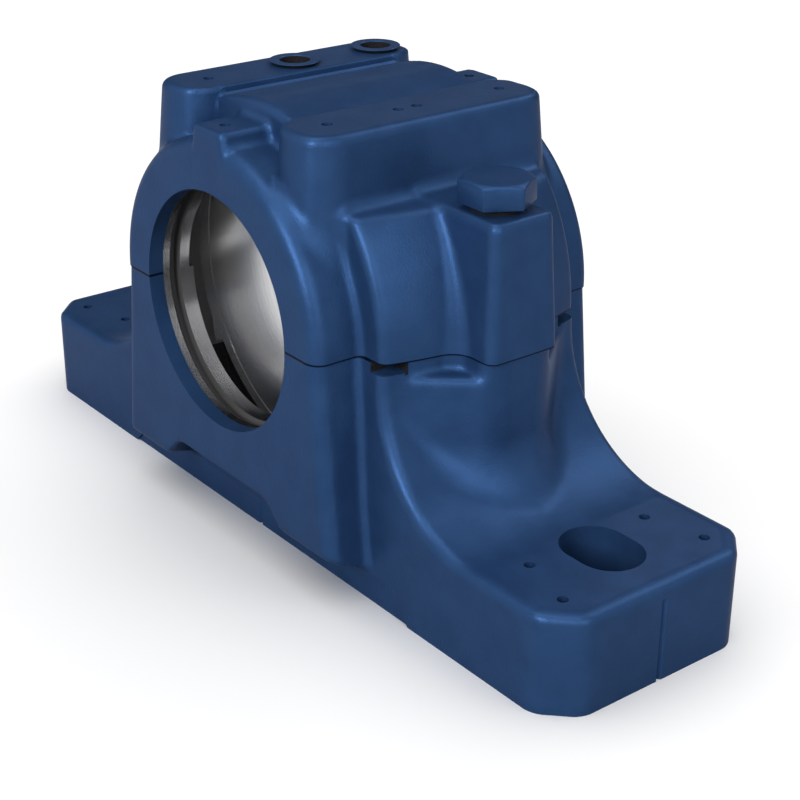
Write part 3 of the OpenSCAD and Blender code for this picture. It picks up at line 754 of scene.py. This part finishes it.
# Room about an edge in millimetres, where the paint stops in the bore, and how far the end wall's
# machined rim, the grease pockets and the prising slots reach
TIGHT, NEAR = 0.02, 0.05
PAINT_STOP, WALL_RIM, POCKET_REACH, PRY_SEEN, PRY_SEEN_STOP = 42.87, 0.5, 8.0, 6.0, 1.5

# Limits of a normal: upwards on a level face, towards the shaft on a bored one, upwards on an upright one
LEVEL, FACING, UPRIGHT = 0.9, 0.5, 0.3


def bore_surface(along, radius):
    """The chambers and grooves are left rough, and the rest of the bore is machined."""
    in_chamber = SEAT_HALF + NEAR < along < CAP_CHAMBER + 2 * NEAR and radius > PASSAGE_R + WALL_RIM
    in_groove = GROOVE_IN - 2 * NEAR < along < GROOVE_OUT + NEAR and radius > PASSAGE_R + GROOVE_BEVEL + NEAR
    return IN_BORED if in_chamber or in_groove else IN_MACHINED


def in_prising_slot(across, along, z):
    """Whether a point lies on a prising slot."""
    beside = SEAT_R + PRY_WALL / 2 < across < FLANK + PRY_SEEN
    within = BARREL_HALF - PRY_WIDTH < along < BARREL_HALF - PRY_SEEN_STOP
    return beside and within and SHAFT - PRY_HEIGHT - 2 * NEAR < z < SHAFT


def casting_surface(point, normal):
    """Material of a casting's face, from its middle and its normal."""
    x, y, z = point / MM
    across, along, h = abs(x), abs(y), z - SHAFT
    radius = math.hypot(x, h)
    if abs(h) < HAIR and abs(normal.z) > LEVEL or z < HAIR:
        return IN_MACHINED
    inward = -(x * normal.x + h * normal.z) / max(radius, 1e-6)
    inside = (SHOULDER_R if along < BARREL_HALF else GROOVE_R) + TIGHT
    if along < PAINT_STOP and radius < SEAT_R + SEAT_STEP + NEAR and (inward > FACING or radius < inside):
        return bore_surface(along, radius)
    # Grease pockets and prising slots get the near-black casting, which is painted shade
    if along < BASE_CHAMBER and radius < SEAT_R + POCKET_REACH and z < SHAFT and across < SEAT_R:
        return IN_SHADE_CAST
    if in_prising_slot(across, along, z) and normal.z < FACING:
        return IN_SHADE_CAST
    hole = math.hypot(across - BOLT_AT, y)
    return IN_MACHINED if hole < BOLT_D / 2 + PAST and abs(normal.z) < UPRIGHT else IN_PAINT


def bolt_surface(point, normal):
    """1 for the neck under the head, which takes near-black painted shade, else 0."""
    return int(point.z / MM < BOSS_TOP + WASHER_FACE + NEAR)


def plug_surface(point, normal):
    """1 inside the hollow and on the undercut flank, which take near-black painted shade, else 0."""
    reach = math.hypot(point.x / MM - PLUG_AT, min(abs(point.y / MM - y) for y in PLUG_YS))
    return int(reach < PLUG_HOLLOW_D / 2 + NEAR or point.z / MM < PAD_TOP + PLUG_FLANGE_H - PLUG_RIM)


def finish(obj, node, looks, sharp, surface=None):
    """Gives obj its materials and smooth faces, and puts it in place of the frame's node."""
    obj.data.materials.clear()
    for look in looks:
        obj.data.materials.append(look)
    for poly in obj.data.polygons:
        poly.use_smooth = True
        poly.material_index = surface(poly.center, poly.normal) if surface else 0
    obj.data.set_sharp_from_angle(angle=math.radians(sharp))
    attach(obj, "root")
    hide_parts(node)


# Castings

def casting(name, field, low, high, grid, cuts):
    """Cast skin from a field, with its cuts made."""
    obj = mesh_object(name, *skin(field, low, high, grid))
    carve(obj, cuts)
    return obj


cap = casting("cap_casting", cap_field, (-CAP_REACH, -GRID_HALF, SHAFT - GRID_SPARE),
              (CAP_REACH, GRID_HALF, PAD_TOP + GRID_ABOVE), CAP_GRID, cap_cuts())
base = casting("base_casting", base_field, (-BASE_REACH, -GRID_HALF, -GRID_SPARE),
               (BASE_REACH, GRID_HALF, SHAFT + GRID_SPARE), BASE_GRID, base_cuts())
for obj, node in ((cap, "housing_cap"), (base, "housing_base")):
    finish(obj, node, [PAINT, MACHINED, SHADE_CAST, BORED], CASTING_SHARP, casting_surface)


# Bolts, plugs and pins

def bolt(x):
    """Hexagon head with a bevelled top and a washer face, on its shank."""
    corner, low = BOLT_FLATS / math.sqrt(3), BOSS_TOP + WASHER_FACE
    hexagon = [(x + corner * c, corner * s) for c, s in around(6)]
    obj = tool("cap_bolt", prism(hexagon, low, low + BOLT_HEAD))
    cone = [(low - PAST, BOLT_TOP_R + (BOLT_HEAD + PAST) * BOLT_TOP_SLOPE), (low + BOLT_HEAD, BOLT_TOP_R)]
    carve(obj, [turned(cone, (x, 0, 0), TURNED_STEPS)], "INTERSECT")
    soften(obj, BOLT_EDGE)
    tip, r = SHAFT - BOLT_GRIP, BOLT_D / 2
    shank = [(tip, r - BOLT_TIP), (tip + BOLT_TIP, r), (BOSS_TOP, r), (BOSS_TOP + HAIR, NECK_R),
             (low + NECK_LAP, NECK_R)]
    carve(obj, [turned(shank, (x, 0, 0), TURNED_STEPS)], "UNION")
    return obj


def plug(y):
    """Flanged plug, open at the top."""
    top, out, hollow = PAD_TOP + PLUG_FLANGE_H, PLUG_FLANGE_D / 2, PLUG_HOLLOW_D / 2
    low, r = PAD_TOP - PLUG_LENGTH, PLUG_D / 2
    profile = [(low, HAIR), (low, r), (PAD_TOP, r), (PAD_TOP, r + PLUG_ROOT), (top - PLUG_RIM, out),
               (top - PLUG_EDGE, out), (top, out - PLUG_EDGE), (top, hollow + PLUG_MOUTH),
               (top - PLUG_MOUTH, hollow), (low + PLUG_BOTTOM, hollow), (low + PLUG_BOTTOM, HAIR)]
    return tool("grease_plug", turned(profile, (PLUG_AT, y, 0), TURNED_STEPS))


def dowel(x, y):
    """Pin with bevelled ends, half of it in each casting."""
    half, r = DOWEL_LENGTH / 2, DOWEL_D / 2
    profile = [(SHAFT - half, r - DOWEL_TIP), (SHAFT - half + DOWEL_TIP, r), (SHAFT + half - DOWEL_TIP, r),
               (SHAFT + half, r - DOWEL_TIP)]
    return tool("dowel_pin", turned(profile, (x, y, 0), PIN_STEPS))


for side, name in ((1, "right"), (-1, "left")):
    finish(bolt(side * BOLT_AT), "cap_bolt_" + name, [PAINT, SHADE_CAST], SHARP, bolt_surface)
for y, name in zip(PLUG_YS, ("middle", "rear")):
    finish(plug(y), "grease_plug_" + name, [PAINT, SHADE_CAST], SHARP, plug_surface)
for side, name in ((1, "front"), (-1, "rear")):
    finish(dowel(side * DOWEL_X, -side * DOWEL_Y), "dowel_pin_" + name, [PIN], SHARP)


# Camera at the photograph's viewing angle

AZIMUTH, ELEVATION, ROLL = math.radians(51.807), math.radians(25.242), math.radians(0.393)
DISTANCE, TARGET = 512.47, Vector((9.82, 9.32, 31.16))
FOCAL_PX, FRAME_PX, SENSOR = 1738.44, 800, 36.0

camera = bpy.data.objects.new("camera", bpy.data.cameras.new("camera"))
bpy.context.collection.objects.link(camera)
bpy.context.scene.camera = camera
flat = math.cos(ELEVATION)
back = Vector((math.sin(AZIMUTH) * flat, -math.cos(AZIMUTH) * flat, math.sin(ELEVATION)))
camera.data.sensor_width = SENSOR
camera.data.lens = FOCAL_PX / FRAME_PX * SENSOR
camera.location = (TARGET + back * DISTANCE) * MM
camera.rotation_mode = "QUATERNION"
camera.rotation_quaternion = (-back).to_track_quat("-Z", "Y") @ Matrix.Rotation(ROLL, 3, "Z").to_quaternion()
camera.data.clip_start, camera.data.clip_end = 0.01, 50


# Light, with distances and sizes in metres and powers in watts

WORLD_LIGHT = 0.02
LAMP_AIM, LAMP_DISTANCE = Vector((0, 0, 0.06)), 1.25
OBJECT_LAMPS = {"front": ((0.33, -0.83, 0.45), 0.5, 13.0),
                "overhead": ((0.0, -0.26, 0.97), 0.8, 6.2),
                "right": ((0.88, -0.23, 0.42), 0.8, 6.0),
                "rear": ((0.0, 0.74, 0.67), 0.6, 4.4),
                "rear left": ((-0.62, 0.74, 0.26), 0.6, 5.5)}
FLOOR_LAMP_DISTANCE, FLOOR_LAMP_SIZE, FLOOR_LAMP_POWER = 3.0, 9.0, 405


def lamp(name, direction, distance, size, power):
    """Soft square lamp that looks at the middle of the housing."""
    data = bpy.data.lights.new(name, "AREA")
    data.shape, data.size, data.energy = "SQUARE", size, power
    obj = bpy.data.objects.new(name, data)
    bpy.context.collection.objects.link(obj)
    away = Vector(direction).normalized()
    obj.location = LAMP_AIM + away * distance
    obj.rotation_euler = away.to_track_quat("Z", "Y").to_euler()
    return obj


world = bpy.data.worlds.new("studio")
bpy.context.scene.world = world
world.use_nodes = True
sky = Graph(world.node_tree)
background = sky.tree.nodes["Background"]
strength = sky.node("ShaderNodeMapRange", {}, {"Value": sky.seen_directly(), "To Min": WORLD_LIGHT})
sky.put((1, 1, 1, 1), background.inputs["Color"])
sky.put(strength, background.inputs["Strength"])

object_lamps = [lamp(name, direction, LAMP_DISTANCE, size, power)
                for name, (direction, size, power) in OBJECT_LAMPS.items()]
floor_lamp = lamp("over the floor", (0, 0, 1), FLOOR_LAMP_DISTANCE, FLOOR_LAMP_SIZE, FLOOR_LAMP_POWER)


# Dark card and floor

CARD_LEFT, CARD_RIGHT, CARD_LOW, CARD_HIGH = (-1600, -400), (500, 1700), 60, 1500
CARD_TONE, CARD_GLOW = (0.01, 0.01, 0.01, 1), 0.1
FLOOR_HALF = 3000
FLOOR_SEEN, FLOOR_UNSEEN, FLOOR_GLOW = (0.9, 0.9, 0.9), (0.09, 0.09, 0.09), (0.04, 0.04, 0.04)


def sheet(name, corners, material):
    """Flat piece of the stage, which is no part of the housing."""
    obj = mesh_object(name, corners, [(0, 1, 2, 3)])
    obj.data.materials.append(material)
    return obj


def card_material():
    """Nearly black, with a faint glow."""
    look = Look("dark_card")
    return look.feed(Base_Color=CARD_TONE, Roughness=1.0, Specular_IOR_Level=0.0,
                     Emission_Color=(1, 1, 1, 1), Emission_Strength=CARD_GLOW)


def floor_material():
    """White where it is seen, and dark for the light that it would throw back at the housing."""
    look = Look("pale_floor")
    seen = look.seen_directly()
    return look.feed(Base_Color=look.mix(seen, FLOOR_UNSEEN, FLOOR_SEEN), Roughness=0.9,
                     Specular_IOR_Level=0.0, Emission_Color=look.mix(seen, (0, 0, 0), FLOOR_GLOW),
                     Emission_Strength=1.0)


# The card stands behind the housing, as in studios, and shows in reflections alone
card = sheet("dark_card", [(*CARD_LEFT, CARD_LOW), (*CARD_RIGHT, CARD_LOW), (*CARD_RIGHT, CARD_HIGH),
                           (*CARD_LEFT, CARD_HIGH)], card_material())
card.visible_camera = card.visible_diffuse = card.visible_shadow = card.visible_transmission = False

floor = sheet("floor", [(-FLOOR_HALF, -FLOOR_HALF, 0), (FLOOR_HALF, -FLOOR_HALF, 0),
                        (FLOOR_HALF, FLOOR_HALF, 0), (-FLOOR_HALF, FLOOR_HALF, 0)], floor_material())

# The floor has a lamp of its own, so that the shadow on it stays short and soft
for name, state, lamps in (("lit_by_floor_lamp", "INCLUDE", [floor_lamp]),
                           ("not_lit_by_others", "EXCLUDE", object_lamps)):
    group = bpy.data.collections.new(name)
    group.objects.link(floor)
    group.collection_objects[0].light_linking.link_state = state
    for one in lamps:
        one.light_linking.receiver_collection = group
bpy.context.scene.view_settings.view_transform = "Standard"
